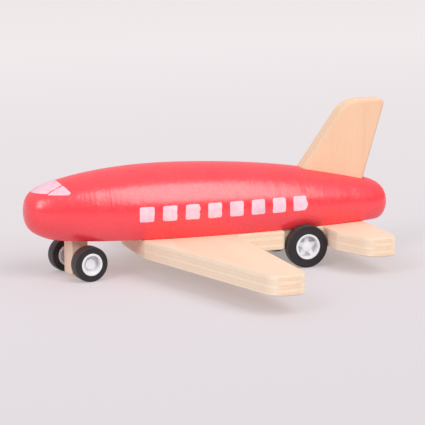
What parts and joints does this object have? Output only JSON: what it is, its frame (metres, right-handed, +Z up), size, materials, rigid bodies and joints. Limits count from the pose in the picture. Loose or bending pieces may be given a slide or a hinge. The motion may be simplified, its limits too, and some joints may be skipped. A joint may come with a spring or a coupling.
{
  "type": "toy airplane",
  "caption": "Wooden toy airliner on wheels: turned body, plywood wings and tail, steering nose leg, and a rear axle driven by a pull-back motor.",
  "frame": {"origin": "on the floor under the middle of the aircraft's bounding box; the wheels stand on Z = 0", "axes": "+X to the nose, +Y to the port wing tip, +Z up"},
  "size_m": [0.1774, 0.2084, 0.0753],
  "materials": {
    "red_paint": "red satin paint on turned wood",
    "plywood": "sanded light plywood, clear matt",
    "beech": "sanded beech, clear matt",
    "steel": "plain bright steel",
    "white_plastic": "moulded white plastic",
    "black_rubber": "smooth soft black rubber",
    "grey_plastic": "moulded grey plastic",
    "gear_plastic": "natural acetal",
    "spring_steel": "blued spring strip",
    "window_paint": "pale pink stencilled paint for the windows and the windscreen"
  },
  "bodies": {
    "airframe": {"fuselage": "red_paint", "wing_tail_plate": "plywood", "tail_fin": "plywood", "plate_screws": "steel", "motor_screws": "steel", "motor_case_port": "grey_plastic", "motor_case_starboard": "grey_plastic", "idler_pin": "steel", "spring_arbor": "steel"},
    "nose_gear": {"nose_leg": "beech"},
    "nose_wheels": {"nose_axle": "steel", "nose_rim_port": "white_plastic", "nose_rim_starboard": "white_plastic", "nose_tyre_port": "black_rubber", "nose_tyre_starboard": "black_rubber"},
    "rear_wheels": {"rear_axle": "steel", "rear_rim_port": "white_plastic", "rear_rim_starboard": "white_plastic", "rear_tyre_port": "black_rubber", "rear_tyre_starboard": "black_rubber", "axle_pinion": "gear_plastic"},
    "idler": {"idler_gear": "gear_plastic"},
    "barrel": {"spring_barrel": "gear_plastic", "mainspring": "spring_steel"}
  },
  "joints": [
    {"name": "nose_steer", "type": "hinge", "parent": "airframe", "child": "nose_gear", "pos_m": [0.065, 0, 0.0178], "axis": [0, 0, 1], "continuous": true},
    {"name": "nose_wheels_spin", "type": "hinge", "parent": "nose_gear", "child": "nose_wheels", "pos_m": [0.06431, -0.00012, 0.008], "axis": [-0.1726, 0.985, 0], "continuous": true},
    {"name": "rear_wheels_spin", "type": "hinge", "parent": "airframe", "child": "rear_wheels", "pos_m": [-0.0403, 0, 0.01], "axis": [0, 1, 0], "continuous": true},
    {"name": "idler_spin", "type": "hinge", "parent": "airframe", "child": "idler", "pos_m": [-0.03654, 0, 0.01706], "axis": [0, 1, 0], "continuous": true},
    {"name": "barrel_spin", "type": "hinge", "parent": "airframe", "child": "barrel", "pos_m": [-0.02708, 0, 0.01789], "axis": [0, 1, 0], "continuous": true}
  ],
  "couplings": [
    {"joint": "idler_spin", "follows": "rear_wheels_spin", "ratio": -0.33333},
    {"joint": "barrel_spin", "follows": "rear_wheels_spin", "ratio": 0.088889}
  ]
}
